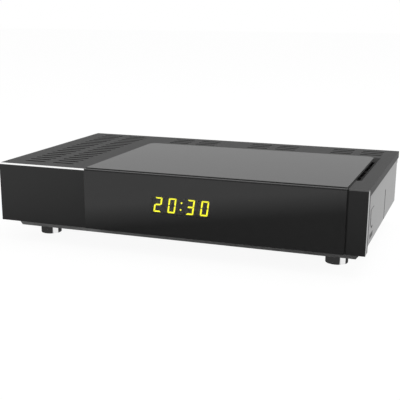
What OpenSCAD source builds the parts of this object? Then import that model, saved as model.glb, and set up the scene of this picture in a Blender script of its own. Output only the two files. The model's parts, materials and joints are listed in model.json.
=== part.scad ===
// Satellite television receiver: a flat steel case with a plastic front, a gloss window and four feet.
// X runs to the right seen from the front, Y to the back, Z up. The origin is the middle of the
// space that the receiver takes on a shelf, at the level that its feet stand on.

/* [Case] */
// Width of the front and of the cover
case_w = 260; // [230:1:300]
// Depth from the front face to the back of the cover
case_d = 155; // [140:1:190]
// Height of the front
front_h = 41.5; // [38:0.5:50]
// Thickness of the steel sheet
sheet_t = 0.8; // [0.6:0.1:1.0]
// Gap between sheets and mouldings that fit together
fit_gap = 0.1; // [0.05:0.05:0.2]

/* [Tray] */
// How far the tray's floor hangs below the front's lower edge
tray_drop = 6.5; // [4:0.5:8]
// Width of the sloped lower corner of the tray's side
tray_slope_w = 6.8; // [3:0.2:8]
// Height of the sloped lower corner of the tray's side
tray_slope_h = 8.9; // [4:0.1:10]
// Distance from the front face to the tray's front wall
tray_setback = 14; // [12:0.5:18]
// Height of the tray's front wall over its floor
tray_lip_h = 16; // [14:0.5:17]
// Width of the flange along the top of each side
tray_flange_w = 5; // [4:0.5:6]
// Length of an air slot in the floor
floor_slot_l = 22; // [16:1:26]
// Width of an air slot in the floor or in the rear wall
floor_slot_w = 2.4; // [1.5:0.1:3]
// Distance between neighbouring air slots in the floor
floor_slot_pitch = 6; // [5:0.5:8]
// Number of air slots in each group of the floor
floor_slots = 8; // [4:1:10]
// Length of an air slot in the rear wall
rear_slot_l = 10; // [6:1:12]
// Number of air slots in the rear wall
rear_slots = 14; // [8:1:14]
// Height of the side slit over the tray's floor
side_slit_h = 30.5; // [24:0.5:34]
// Width of the side slit
side_slit_w = 2.2; // [1.4:0.1:3]
// Distance from the front face to the side slit
side_slit_y = 91; // [80:1:110]
// Height that the side pad stands out
side_pad_t = 0.2; // [0.2:0.1:0.6]

/* [Cover] */
// Height of the cover's side skirt
skirt_h = 5; // [4:0.1:6]
// Height of the cover's rear flange
rear_flange_h = 9; // [7:0.5:11]
// Distance from the front face to the cover's front edge
cover_setback = 3.1; // [3.1:0.1:4]
// Width of an air slot
vent_w = 2.3; // [1.6:0.1:3]
// Length of an air slot
vent_l = 16.4; // [12:0.2:18]
// Distance between the two slots of a pair, start to start
vent_pair_pitch = 22.5; // [20:0.5:24]
// Number of slot pairs across the cover
vent_pairs = 4; // [2:1:4]
// Number of rows in the long group on the left
vent_rows = 18; // [12:1:20]
// Number of rows in the short groups at the back
vent_back_rows = 3; // [2:1:4]
// Distance from the cover's left edge to the first slot
vent_margin_left = 12.5; // [10:0.5:20]
// Distance from the last slot to the cover's right edge
vent_margin_right = 10; // [8:0.5:20]
// Distance from the front face to the first row
vent_margin_front = 15; // [12:0.5:20]
// Distance from the last row to the cover's back edge
vent_margin_back = 10.5; // [10:0.5:16]
// Depth of the dish under the top plate
dish_depth = 3; // [2:0.2:3.6]
// Distance from the front face to the dish
dish_y = 29; // [24:1:40]
// How far the dish reaches out to the right of the top plate
dish_reach = 4.4; // [3:0.2:6]
// How far the dish reaches out behind the top plate
dish_reach_back = 1.8; // [1:0.2:3]
// Width of the dish
dish_w = 150; // [100:1:165]
// Length of a hole in the dish
dish_hole_l = 18.2; // [10:0.2:18.4]
// Width of a hole in the dish
dish_hole_w = 3.8; // [3:0.1:5]
// Distance between neighbouring holes in the dish
dish_hole_pitch = 20.8; // [19:0.2:21]
// Number of holes in the dish
dish_holes = 4; // [2:1:4]

/* [Front] */
// Wall of the front moulding
front_wall = 2.5; // [2:0.1:3]
// Depth of the front moulding
front_depth = 10; // [10:0.5:12]
// Depth of the full-width part of the front's side
front_return = 5; // [4:0.5:6]
// Step from the front's side down to the narrow band behind it
side_step = 0.15; // [0.1:0.05:0.3]
// Width of the groove along the window's right edge
groove_w = 0.9; // [0.6:0.1:1.5]
// Width of the plain part of the front, left of the window
left_w = 67.5; // [55:0.5:75]
// Width of the plain part of the front, right of the window
right_w = 13; // [10:0.5:20]
// Depth of the front's top edge before the cover
bevel_d = 3; // [2.5:0.1:3]
// Depth of the trim strip
strip_d = 1.7; // [1.2:0.1:2]
// Height of the bevel's flat below its slope
bevel_flat = 0.3; // [0.1:0.1:0.5]
// Depth of the flat on top of the bevel
bevel_top = 1.2; // [0.6:0.1:1.6]
// Length of the clip arm behind each end of the front
arm_l = 28; // [24:1:34]
// Height of the clip arm
arm_h = 6; // [5:0.5:8]
// Thickness of the clip arm
arm_t = 1.8; // [1.4:0.1:2.4]
// Height of the clip arm over the front's lower edge
arm_rise = 4; // [3:0.5:6]
// Length of the clip window in the tray's side
clip_l = 13; // [9:0.5:15]
// Height of the clip window
clip_h = 3; // [2:0.2:4]
// Width of each hook that holds the tray's front wall
lug_w = 12; // [8:0.5:16]
// Thickness of each hook
lug_t = 1.8; // [1.4:0.1:1.8]
// Distance of the outer hooks from the middle
lug_x = 80; // [60:1:100]

/* [Window and top plate] */
// Thickness of the window
window_t = 1.8; // [1.5:0.1:1.8]
// How far the window stands out of the front
window_proud = 1; // [0.5:0.1:1]
// Thickness of the top plate
plate_t = 1; // [0.8:0.1:1.5]
// Distance from the front face to the top plate
plate_y = 1.9; // [1.9:0.1:2.4]
// Depth of the top plate
plate_d = 114.4; // [100:0.2:120]
// Radius of the top plate's rear corners
plate_r = 6; // [2:0.5:12]
// Gap between the window and the top plate
plate_gap = 0.3; // [0.2:0.1:0.5]
// Step between the window's sides and the top plate's
plate_inset = 0.4; // [0:0.1:1]
// Height of the window's top under the top plate's
window_drop = 0.6; // [0.4:0.1:0.7]
// Width of the slope along the window's top edge
window_edge = 0.5; // [0.3:0.1:0.7]
// Height of the line cut along the window's top edge
window_line_h = 0.6; // [0.4:0.1:0.8]
// Depth of that line
window_line_d = 0.7; // [0.4:0.1:0.8]

/* [Display] */
// Distance of the display from the middle of the case
display_x = 8; // [0:0.2:14]
// Height of the display's middle over the front's lower edge
display_rise = 21.1; // [21:0.1:22]
// Width of the display's body
display_w = 42.4; // [41:0.1:44]
// Height of the display's body
display_h = 12.8; // [12:0.1:14]
// Depth of the display's body
display_d = 7; // [6.8:0.1:7.2]
// Height of a digit
digit_h = 10.2; // [8:0.1:10.4]
// Width of a digit
digit_w = 5.2; // [5:0.1:6]
// Width of a stroke
stroke_w = 0.9; // [0.8:0.05:1.4]
// Distance between the digits of a pair
digit_pitch = 10; // [9.2:0.1:10.1]
// Distance between the second digit and the third
colon_pitch = 13; // [12.6:0.1:13.2]
// Lean of the digits in degrees
digit_lean = 8; // [0:1:10]
// Gap between neighbouring strokes
stroke_gap = 0.25; // [0.1:0.05:0.3]
// Thickness of the lit strokes
stroke_t = 0.25; // [0.1:0.05:0.3]
// Diameter of a dot of the colon
colon_d = 1; // [1:0.1:1.6]
// Distance between the dots of the colon
colon_rise = 4.6; // [3:0.1:5.5]

/* [Boards] */
// Thickness of the circuit boards
board_t = 1.6; // [1.2:0.1:1.6]
// Width of the main board
board_w = 224; // [224:1:226]
// Depth of the main board
board_d = 90; // [84:1:94]
// Height of the main board over the tray's floor
standoff_h = 6; // [5:0.5:8]
// Radius of a standoff
standoff_r = 3; // [2.5:0.1:4]
// Distance of the board screws from the main board's edges
board_screw_inset = 5; // [4:0.5:6]
// Width of the front board
front_board_w = 88; // [84:1:96]
// Height of the front board
front_board_h = 19; // [18:0.5:19]
// Distance of the front board's screws from its edges
front_screw_inset = 3.2; // [3:0.1:3.6]
// Radius of a machine screw
screw_r = 1.45; // [1.2:0.05:1.6]
// Radius of a small screw
small_screw_r = 0.95; // [0.8:0.05:1.1]
// Running gap of a screw in its hole
screw_gap = 0.05; // [0.03:0.01:0.1]
// Width of the ribbon cable
ribbon_w = 10; // [8:0.5:12]
// Thickness of the ribbon cable
ribbon_t = 0.6; // [0.4:0.1:0.8]
// Distance of the ribbon cable from the middle of the case
ribbon_x = -20; // [-26:1:-14]

/* [Rear connectors] */
// Radius of an aerial connector's thread
f_r = 4.76; // [4.7:0.01:4.8]
// Free length of an aerial connector's thread
f_l = 8; // [7:0.5:9]
// Thickness of an aerial connector's nut
f_nut_t = 2.4; // [2:0.1:3]
// Width of an aerial connector's nut across its flats
f_nut_af = 11; // [11:0.1:12.7]
// Distance from the middle of the case to the tuner's middle
tuner_x = 90; // [90:1:92]
// Distance between the two aerial connectors
f_pitch = 20; // [16:0.5:20]
// Height of the tuner's screening can
tuner_h = 14; // [13:0.5:16]
// Distance from the middle of the case to the video socket's middle
scart_x = 36; // [34:1:36]
// Distance from the middle of the case to the digital video socket
hdmi_x = -5; // [-6:1:-4]
// Distance from the middle of the case to the digital sound socket
coax_x = -25; // [-26:1:-24]
// Radius of the digital sound socket's shell
coax_r = 4.15; // [4.1:0.01:4.2]
// Free length of the digital sound socket's shell
coax_l = 8; // [7:0.5:9]
// Distance from the middle of the case to the data socket
usb_x = -43; // [-44:1:-42]
// Distance from the middle of the case to the sensor socket
jack_x = -60; // [-61:1:-59]
// Radius of the sensor socket's bore
jack_r = 1.85; // [1.8:0.01:1.9]
// Depth of the sensor socket's bore
jack_bore_l = 12; // [10:0.5:13]
// Distance from the middle of the case to the power inlet
power_x = -75; // [-76:1:-74]
// Radius of the power inlet's hole
power_r = 3.1; // [2.9:0.05:3.4]
// Radius of the power inlet's pin
power_pin_r = 1; // [0.8:0.05:1.25]

/* [Power switch] */
// Distance from the middle of the case to the switch's middle
switch_x = -98; // [-99:1:-97]
// Length of the rocker
rocker_l = 16.6; // [15:0.2:17]
// Height of the rocker
rocker_h = 10.4; // [9:0.2:11]
// Tilt of the rocker to each side in degrees
rocker_tilt = 10; // [6:1:12]
// Wall of the switch's housing
switch_wall = 1.3; // [1.2:0.1:1.5]
// Gap round the rocker
rocker_gap = 0.35; // [0.3:0.05:0.5]
// Radius of the rocker's pivot pins
pivot_r = 1.2; // [1:0.05:1.3]
// Running gap of the pivot pins
pivot_gap = 0.05; // [0.03:0.01:0.08]

/* [Feet] */
// Diameter of a foot
foot_d = 15; // [12:0.5:20]
// Height of a foot
foot_h = 8; // [6:0.5:12]
// Wall of a foot's shell
foot_wall = 1.2; // [0.8:0.1:1.6]
// Thickness of the rubber pad under a foot
pad_t = 2; // [1.5:0.1:3]
// How far the rubber pad reaches below the shell
pad_proud = 0.2; // [0.2:0.1:0.6]
// Distance from the case's side to the middle of a foot
foot_inset_x = 22.5; // [18:0.5:30]
// Distance from the front face to the middle of a front foot
foot_inset_front = 30; // [26:0.5:36]
// Distance from the back of the case to the middle of a rear foot
foot_inset_back = 24; // [18:0.5:36]

/* [Hidden] */
$fn = 48;
cut = 1;                                   // how far a cutter runs past a face
root = 0.5;                                // how far one shape is sunk into another
lug_drop = 4;                              // how far a hook reaches down inside the tray

// Levels, from the shelf up.
floor_z = foot_h;                          // underside of the tray
front_z = floor_z + tray_drop;             // lower edge of the front
top_z = front_z + front_h;                 // top of the cover
sheet_z = top_z - sheet_t;                 // underside of the cover's top
tray_top_z = sheet_z - 2 * fit_gap;
board_z = floor_z + sheet_t + standoff_h;  // underside of the main board
parts_z = board_z + board_t;               // top of the main board

// Depths, from the front face back.
tray_back = case_d - sheet_t - fit_gap;    // outer face of the tray's rear wall
panel_in = tray_back - sheet_t;            // inner face of the rear wall
board_back = panel_in - 1;
board_front = board_back - board_d;
window_back = window_t - window_proud;
f_relief = 0.6;                            // run-out groove between a nut and the free thread
rear_reach = f_nut_t + f_relief + f_l - (case_d - tray_back);
front_y = (window_proud - case_d - rear_reach) / 2;

// Widths.
tray_half = case_w / 2 - sheet_t - fit_gap;
window_x0 = left_w - case_w / 2;
window_x1 = case_w / 2 - right_w;
plate_x0 = window_x0 + plate_inset;
plate_x1 = window_x1 - plate_inset;

// Cover vents.
vent_group_pitch = (case_w - vent_margin_left - vent_margin_right - vent_pair_pitch - vent_l)
    / (vent_pairs - 1);
vent_row_pitch = (case_d - vent_margin_front - vent_margin_back) / (vent_rows - 1);

// Front board and display.
display_z = front_z + display_rise;
display_y = window_back + stroke_t + 0.15;   // face of the display's body
front_board_y = display_y + display_d;       // front of the front board
aperture_gap = 0.3;                          // clearance round what passes a wall
ir_x = display_x - 33;
ir_r = 2.4;
post_r = 2.6;
header_w = ribbon_w + 4;
header_d = 5;
header_h = 6;
main_header_y = board_front + 8;

// Screws.
head_r = 2.8;
head_t = 1.6;
cover_screw_l = 6;
cover_screw_x = case_w / 2 - 15;
cover_screw_z = top_z - rear_flange_h / 2 - 1;

// Aerial connectors.
f_relief_r = f_r - 0.4;
f_bore_r = 3.4;
f_recess = 0.8;                              // how far the insulator lies behind the tip
f_pin_hole_r = 0.75;
f_z = parts_z + tuner_h / 2;
f_hole_gap = 0.25;
can_gap = 0.5;                               // gap between a body and the rear wall
can_w = f_pitch + 20;
can_d = 46;
tuner_inset = 0.6;

// Other sockets.
scart_w = 54;
scart_h = 17;
scart_d = 20;
scart_proud = 1.5;
scart_z = parts_z + scart_h / 2;
hdmi_w = 15;
hdmi_h = 5.6;
hdmi_d = 12;
hdmi_wall = 0.45;
hdmi_z = parts_z + 1 + hdmi_h / 2;
usb_w = 13.2;
usb_h = 5.8;
usb_d = 14;
usb_wall = 0.4;
usb_z = parts_z + 1 + usb_h / 2;
shell_proud = 0.6;
coax_block = [10, 10, 10.5];
coax_z = parts_z + coax_block[2] / 2;
coax_collar_r = 4.9;
coax_collar_l = 1.2;
coax_shell_t = 0.6;
coax_hole_r = 1.7;
jack_block = [8, 10, 7];
jack_z = parts_z + jack_block[2] / 2;
jack_nose_r = 3;
jack_nose_l = 2.4;
power_block = [9, 13.5, 11];
power_z = parts_z + power_block[2] / 2;
power_bore_l = 10;

// Power switch.
well_l = rocker_l + 2 * rocker_gap;
well_h = rocker_h + 2 * rocker_gap;
switch_l = well_l + 2 * switch_wall;
switch_h = well_h + 2 * switch_wall;
switch_flange = 1.2;
switch_flange_t = 1.2;
switch_d = 12;
switch_well_d = 10;
switch_z = parts_z + switch_h / 2 + switch_flange;
pivot_y = tray_back + switch_flange_t - pivot_r - 0.8;
rocker_v = 3.2;                              // pivot to the middle of the rocker's face
rocker_back = 5;                             // pivot to the back of the rocker
pivot_l = 0.8;                               // length of a pivot pin in the housing

// Feet.
foot_x = case_w / 2 - foot_inset_x;
foot_ys = [foot_inset_front, case_d - foot_inset_back];
foot_seat_r = foot_d / 2 - foot_wall;
foot_screw_r = 1.6;
foot_web_t = 1.6;

// Moves a piece from the front face to the middle of the receiver's place on the shelf.
module placed() {
    translate([0, front_y, 0]) children();
}

// Extrudes an outline of X and Z along Y.
module along_y(y0, y1) {
    translate([0, y1, 0]) rotate([90, 0, 0]) linear_extrude(y1 - y0) children();
}

// Extrudes an outline of Y and Z along X.
module along_x(x0, x1) {
    translate([x0, 0, 0]) rotate([90, 0, 90]) linear_extrude(x1 - x0) children();
}

// A box between two corners.
module block(low, high) {
    translate(low) cube(high - low);
}

// A box on its middle in X and Z, from one depth to another.
module socket_block(x, z, w, h, y0, y1) {
    block([x - w / 2, y0, z - h / 2], [x + w / 2, y1, z + h / 2]);
}

// A round bar along Y.
module rod_y(x, z, r, y0, y1) {
    translate([x, y1, z]) rotate([90, 0, 0]) cylinder(r = r, h = y1 - y0);
}

// A slot with round ends, lying along X from its left end.
module slot_shape(l, w) {
    translate([w / 2, -w / 2]) square([l - w, w]);
    for (x = [w / 2, l - w / 2]) translate([x, 0]) circle(d = w, $fn = 24);
}

module at_feet() {
    for (side = [-1, 1], y = foot_ys) translate([side * foot_x, y, 0]) children();
}

// The main board's screws: a front row, one at each side before the tuner, and one between
// neighbouring sockets at three places along the back.
module at_board_screws() {
    side_x = board_w / 2 - board_screw_inset;
    side_y = panel_in - can_gap - can_d - board_screw_inset;
    back = [
        (switch_x + switch_l / 2 + power_x - power_block[0] / 2) / 2,
        (coax_x + coax_block[0] / 2 + hdmi_x - hdmi_w / 2) / 2,
        (scart_x + scart_w / 2 + tuner_x - can_w / 2) / 2
    ];
    for (x = [-side_x, 0, side_x]) translate([x, board_front + board_screw_inset, 0]) children();
    for (x = [-side_x, side_x]) translate([x, side_y, 0]) children();
    for (x = back) translate([x, board_back - board_screw_inset, 0]) children();
}

// The front board's four screw places, as X and Z on the wall of the front.
module at_front_screws() {
    for (sx = [-1, 1], sz = [-1, 1])
        translate([
            display_x + sx * (front_board_w / 2 - front_screw_inset), 0,
            display_z + sz * (front_board_h / 2 - front_screw_inset)
        ]) children();
}

module at_cover_screws() {
    for (x = [-cover_screw_x, 0, cover_screw_x]) translate([x, 0, cover_screw_z]) children();
}

// The tray's section across X and Z, set in from its outer face by a wall.
function tray_outline(wall, top) =
    let (
        half = tray_half - wall,
        slope = sqrt(tray_slope_w ^ 2 + tray_slope_h ^ 2),
        foot = tray_half - tray_slope_w - wall * (slope - tray_slope_w) / tray_slope_h,
        knee = floor_z + tray_slope_h + wall * (slope - tray_slope_h) / tray_slope_w
    )
    [[-half, top], [-half, knee], [-foot, floor_z + wall],
     [foot, floor_z + wall], [half, knee], [half, top]];

// The steel tray: floor, sides with sloped lower corners, low front wall and full rear wall.
module chassis_tray() {
    side_z = floor_z + tray_slope_h;
    side_y0 = front_depth + fit_gap;
    color("#a8a9aa") placed() difference() {
        union() {
            difference() {
                along_y(tray_setback, tray_back) polygon(tray_outline(0, tray_top_z));
                along_y(tray_setback + sheet_t, panel_in)
                    polygon(tray_outline(sheet_t, tray_top_z + cut));
                block([sheet_t - tray_half, tray_setback - cut, floor_z + tray_lip_h],
                      [tray_half - sheet_t, tray_setback + sheet_t + cut, tray_top_z + cut]);
            }
            for (side = [0, 1]) mirror([side, 0, 0]) {
                block([tray_half - sheet_t, side_y0, side_z],
                      [tray_half, tray_setback + sheet_t, tray_top_z]);
                block([tray_half - tray_flange_w, tray_setback + sheet_t, tray_top_z - sheet_t],
                      [tray_half, tray_back, tray_top_z]);
                side_pad();
            }
        }
        for (side = [0, 1]) mirror([side, 0, 0]) side_cuts();
        for (side = [-1, 1]) floor_vents(side);
        rear_vents();
        at_feet() translate([0, 0, floor_z - cut])
            cylinder(r = foot_screw_r + screw_gap, h = sheet_t + 2 * cut);
        at_cover_screws() rod_y(0, 0, screw_r + screw_gap, panel_in - cut, tray_back + cut);
        rear_cutouts();
    }
}

// A shallow raised pad behind the front's clip.
module side_pad() {
    block([tray_half - sheet_t, clip_y0(), arm_top_z() + 4],
          [tray_half + side_pad_t, clip_y0() + clip_l, arm_top_z() + 15]);
}

function clip_y0() = front_depth + 11;
function arm_z0() = front_z + arm_rise;
function arm_top_z() = arm_z0() + arm_h;
function clip_z0() = arm_z0() + (arm_h - clip_h) / 2;

// The slit, the clip window and the small slot in the tray's right side, and the notch that
// lets the front's clip arm through the front wall.
module side_cuts() {
    inner = tray_half - sheet_t - cut;
    outer = tray_half + cut;
    block([tray_half - sheet_t - arm_t - 2 * fit_gap, tray_setback - cut, arm_z0() - fit_gap],
          [tray_half - sheet_t, tray_setback + sheet_t + cut, floor_z + tray_lip_h + cut]);
    block([inner, side_slit_y - side_slit_w / 2, floor_z + tray_slope_h],
          [outer, side_slit_y + side_slit_w / 2, floor_z + side_slit_h]);
    block([inner, clip_y0(), clip_z0()], [outer, clip_y0() + clip_l, clip_z0() + clip_h]);
    block([inner, clip_y0() + 5, arm_top_z() + 1.6], [outer, clip_y0() + 10, arm_top_z() + 3]);
}

// One group of air slots in the floor, under the main board.
module floor_vents(side) {
    middle = (board_front + board_back) / 2;
    group = (floor_slots - 1) * floor_slot_pitch;
    for (i = [0 : floor_slots - 1])
        translate([side * board_w / 4 - floor_slot_l / 2, middle - group / 2 + i * floor_slot_pitch,
                   floor_z - cut])
            linear_extrude(sheet_t + 2 * cut) slot_shape(floor_slot_l, floor_slot_w);
}

// Upright air slots in the rear wall, above the power inlet and the switch.
module rear_vents() {
    pitch = 2 * floor_slot_w;
    for (i = [0 : rear_slots - 1])
        along_y(panel_in - cut, tray_back + cut)
            translate([power_x + 20 - i * pitch, cover_screw_z - head_r - 2]) rotate(-90)
                slot_shape(rear_slot_l, floor_slot_w);
}

// The openings of the rear wall, each a clearance wider than the socket in it.
module rear_cutouts() {
    y0 = panel_in - cut;
    y1 = tray_back + cut;
    g = 2 * aperture_gap;
    for (x = f_places()) rod_y(x, f_z, f_r + f_hole_gap, y0, y1);
    socket_block(scart_x, scart_z, scart_w + g, scart_h + g, y0, y1);
    socket_block(hdmi_x, hdmi_z, hdmi_w + g, hdmi_h + g, y0, y1);
    socket_block(usb_x, usb_z, usb_w + g, usb_h + g, y0, y1);
    rod_y(coax_x, coax_z, coax_collar_r + aperture_gap, y0, y1);
    rod_y(jack_x, jack_z, jack_nose_r + aperture_gap, y0, y1);
    socket_block(power_x, power_z, power_block[0] + g, power_block[2] + g, y0, y1);
    socket_block(switch_x, switch_z, switch_l + g, switch_h + g, y0, y1);
}

function f_places() = [tuner_x + f_pitch / 2, tuner_x - f_pitch / 2];

// The painted steel cover: top, side skirts, rear flange, air slots and the dish under the plate.
module top_cover() {
    half = case_w / 2;
    color("#3a3a3b") placed() difference() {
        union() {
            block([-half, cover_setback, sheet_z], [half, case_d, top_z]);
            for (side = [0, 1]) mirror([side, 0, 0])
                block([half - sheet_t, front_return + fit_gap, top_z - skirt_h], [half, case_d, top_z]);
            block([sheet_t - half, case_d - sheet_t, top_z - rear_flange_h],
                  [half - sheet_t, case_d, top_z]);
            dish(sheet_t);
        }
        dish(0);
        vents();
        dish_holes();
        at_cover_screws() rod_y(0, 0, screw_r + screw_gap, case_d - sheet_t - cut, case_d + cut);
    }
}

// The sunk area under the top plate with sloped walls. A wall makes it larger all round.
module dish(wall) {
    grow = wall * sqrt(2);
    down = dish_depth + wall;
    x1 = plate_x1 + dish_reach + grow;
    x0 = plate_x1 + dish_reach - dish_w - grow;
    y0 = dish_y - grow;
    y1 = plate_y + plate_d + dish_reach_back + grow;
    rise = wall > 0 ? 0 : cut;
    intersection() {
        along_y(y0 - cut, y1 + cut) polygon([
            [x0 - rise, top_z + rise], [x0 + down, top_z - down],
            [x1 - down, top_z - down], [x1 + rise, top_z + rise]
        ]);
        along_x(x0 - cut, x1 + cut) polygon([
            [y0 - rise, top_z + rise], [y0 + down, top_z - down],
            [y1 - down, top_z - down], [y1 + rise, top_z + rise]
        ]);
    }
}

// The open holes along the right edge of the dish.
module dish_holes() {
    last = plate_y + plate_d + dish_reach_back - dish_depth - dish_hole_l;
    x = plate_x1 + dish_reach - dish_depth - dish_hole_w - 0.6;
    for (i = [0 : dish_holes - 1])
        translate([x, last - i * dish_hole_pitch, top_z - dish_depth - sheet_t - cut])
            cube([dish_hole_w, dish_hole_l, sheet_t + 2 * cut]);
}

// All air slots of the cover: a long group on the left and short groups along the back.
module vents() {
    translate([0, 0, sheet_z - cut]) linear_extrude(sheet_t + 2 * cut)
        for (group = [0 : vent_pairs - 1], pair = [0, 1],
             row = [group == 0 ? 0 : vent_rows - vent_back_rows : vent_rows - 1])
            translate([
                vent_margin_left - case_w / 2 + group * vent_group_pitch + pair * vent_pair_pitch,
                vent_margin_front + row * vent_row_pitch
            ]) slot_shape(vent_l, vent_w);
}

// The black front moulding, open at the back, with its clips, posts and openings.
module front_bezel() {
    half = case_w / 2;
    under = sheet_z - fit_gap;                 // level of the ledge under the cover
    color("#2c2c2d") placed() difference() {
        union() {
            difference() {
                union() {
                    along_x(-half, window_x0) polygon([
                        [0, front_z], [front_depth, front_z], [front_depth, under],
                        [bevel_d, under], [bevel_d, top_z], [strip_d, top_z], [strip_d, under],
                        [0, under]
                    ]);
                    along_x(window_x0, window_x1 + groove_w) polygon([
                        [window_back, front_z], [front_depth, front_z], [front_depth, under],
                        [bevel_d, under], [bevel_d, top_z], [window_back, top_z]
                    ]);
                    along_x(window_x1 + groove_w, half) polygon([
                        [0, front_z], [front_depth, front_z], [front_depth, under], [bevel_d, under],
                        [bevel_d, top_z], [bevel_d - bevel_top, top_z], [0, under + bevel_flat]
                    ]);
                }
                block([front_wall - half, front_wall, front_z + front_wall],
                      [half - front_wall, front_depth + cut, under - front_wall]);
                for (side = [0, 1]) mirror([side, 0, 0]) {
                    block([half - side_step, front_return, front_z - cut],
                          [half + cut, front_depth + cut, under + cut]);
                    block([tray_half, front_return, top_z - skirt_h - fit_gap],
                          [half + cut, front_depth + cut, under + cut]);
                }
            }
            for (side = [0, 1]) mirror([side, 0, 0]) clip_arm();
            for (x = [-lug_x, 0, lug_x]) tray_hook(x);
            at_front_screws() rod_y(0, 0, post_r, front_wall - root, front_board_y);
        }
        socket_block(display_x, display_z, display_w + 2 * aperture_gap,
                     display_h + 2 * aperture_gap, -cut, front_wall + cut);
        rod_y(ir_x, display_z, ir_r + aperture_gap, -cut, front_wall + cut);
        at_front_screws() rod_y(0, 0, small_screw_r + screw_gap, front_wall, front_board_y + cut);
    }
}

// The springy arm behind the front's right end, with the catch that fills the tray's window.
module clip_arm() {
    x1 = tray_half - sheet_t - fit_gap;
    g = 0.2;
    block([x1 - arm_t, front_wall, arm_z0()], [x1, front_depth + arm_l, arm_top_z()]);
    block([x1 - arm_t, clip_y0() + g, clip_z0() + g],
          [tray_half, clip_y0() + clip_l - g, clip_z0() + clip_h - g]);
}

// A hook that reaches over the tray's front wall.
module tray_hook(x) {
    wall_top = floor_z + tray_lip_h;
    inner_y = tray_setback + sheet_t + fit_gap;
    block([x - lug_w / 2, front_wall - root, wall_top + fit_gap],
          [x + lug_w / 2, inner_y + lug_t, wall_top + fit_gap + lug_t]);
    block([x - lug_w / 2, inner_y, wall_top - lug_drop],
          [x + lug_w / 2, inner_y + lug_t, wall_top + fit_gap + lug_t]);
}

// The bright strip along the top edge, left of the window.
module trim_strip() {
    under = sheet_z - fit_gap;
    color("#e8e8ea") placed() along_x(-case_w / 2, window_x0 - fit_gap) polygon([
        [0, under], [strip_d, under], [strip_d, top_z], [0, under + bevel_flat]
    ]);
}

// The gloss window: a thin plate that turns back over the front's top edge, just under the
// level of the top plate, with a line cut along its face.
module front_window() {
    face = -window_proud;
    back = plate_y - plate_gap;
    z2 = top_z + plate_t - window_drop;
    z1 = top_z;
    z0 = top_z - window_line_h;
    color("#17171a") placed() along_x(window_x0, window_x1) polygon([
        [face, front_z], [window_back, front_z], [window_back, top_z], [back, top_z], [back, z2],
        [face + window_edge, z2], [face, (z1 + z2) / 2], [face, z1],
        [face + window_line_d, z1], [face + window_line_d, z0], [face, z0]
    ]);
}

// The gloss plate that lies on the cover behind the window.
module top_plate() {
    y1 = plate_y + plate_d;
    color("#55565a") placed() translate([0, 0, top_z]) linear_extrude(plate_t) {
        translate([plate_x0, plate_y]) square([plate_x1 - plate_x0, plate_d - plate_r]);
        translate([plate_x0 + plate_r, plate_y])
            square([plate_x1 - plate_x0 - 2 * plate_r, plate_d]);
        for (x = [plate_x0 + plate_r, plate_x1 - plate_r])
            translate([x, y1 - plate_r]) circle(r = plate_r);
    }
}

// The display's body, which stands in the front's opening.
module display_module() {
    color("#26262c") placed()
        socket_block(display_x, display_z, display_w, display_h, display_y, front_board_y);
}

function over_x(points) = [for (p = points) [digit_w - p[0], p[1]]];
function over_z(points) = [for (p = points) [p[0], digit_h - p[1]]];

// One digit, leaned over, with those of its seven strokes that are lit. They meet in mitres.
module digit(lit) {
    w = digit_w;
    h = digit_h;
    t = stroke_w;
    gap = stroke_gap;
    level = [[gap, h], [w - gap, h], [w - t - gap, h - t], [t + gap, h - t]];
    upright = [[0, h - gap], [t, h - t - gap], [t, (h + t) / 2 + gap], [t / 2, h / 2 + gap],
               [0, h / 2 + gap]];
    middle = [[t / 2 + gap, h / 2], [t + gap, (h + t) / 2], [w - t - gap, (h + t) / 2],
              [w - t / 2 - gap, h / 2], [w - t - gap, (h - t) / 2], [t + gap, (h - t) / 2]];
    strokes = [level, over_x(upright), over_x(over_z(upright)), over_z(level),
               over_z(upright), upright, middle];
    for (i = [0 : 6])
        if (lit[i]) polygon([for (v = strokes[i]) [v[0] + v[1] * tan(digit_lean), v[1]]]);
}

// The lit strokes of the clock, in front of the display's body.
module display_digits() {
    two = [true, true, false, true, true, false, true];
    nought = [true, true, true, true, true, true, false];
    three = [true, true, true, true, false, false, true];
    signs = [two, nought, three, nought];
    width = 2 * digit_pitch + colon_pitch + digit_w + digit_h * tan(digit_lean);
    starts = [0, digit_pitch, digit_pitch + colon_pitch, 2 * digit_pitch + colon_pitch];
    colon_x = digit_pitch + (colon_pitch + digit_w) / 2;
    color("#ffff32") placed() translate([display_x - width / 2, 0, display_z - digit_h / 2])
        along_y(display_y - stroke_t, display_y) {
            for (i = [0 : 3]) translate([starts[i], 0]) digit(signs[i]);
            for (side = [-1, 1]) let (rise = (digit_h + side * colon_rise) / 2)
                translate([colon_x + rise * tan(digit_lean), rise]) circle(d = colon_d);
        }
}

// The small board behind the front, with its four screw holes.
module front_board() {
    color("#2f6b3c") placed() difference() {
        socket_block(display_x, display_z, front_board_w, front_board_h,
                     front_board_y, front_board_y + board_t);
        at_front_screws()
            rod_y(0, 0, small_screw_r + screw_gap, front_board_y - cut, front_board_y + board_t + cut);
    }
}

module front_board_screws() {
    back = front_board_y + board_t;
    color("#b9bbbd") placed() at_front_screws() {
        rod_y(0, 0, small_screw_r, front_wall + 0.4, back);
        rod_y(0, 0, 2 * small_screw_r, back, back + small_screw_r);
    }
}

// The remote control's receiver, on the front board behind its hole.
module ir_receiver() {
    color("#1c1c20") placed() {
        socket_block(ir_x, display_z, 2 * ir_r + 1, 2 * ir_r + 2, front_wall + 2, front_board_y);
        rod_y(ir_x, display_z, ir_r, window_back + 0.4, front_wall + 2);
    }
}

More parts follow.
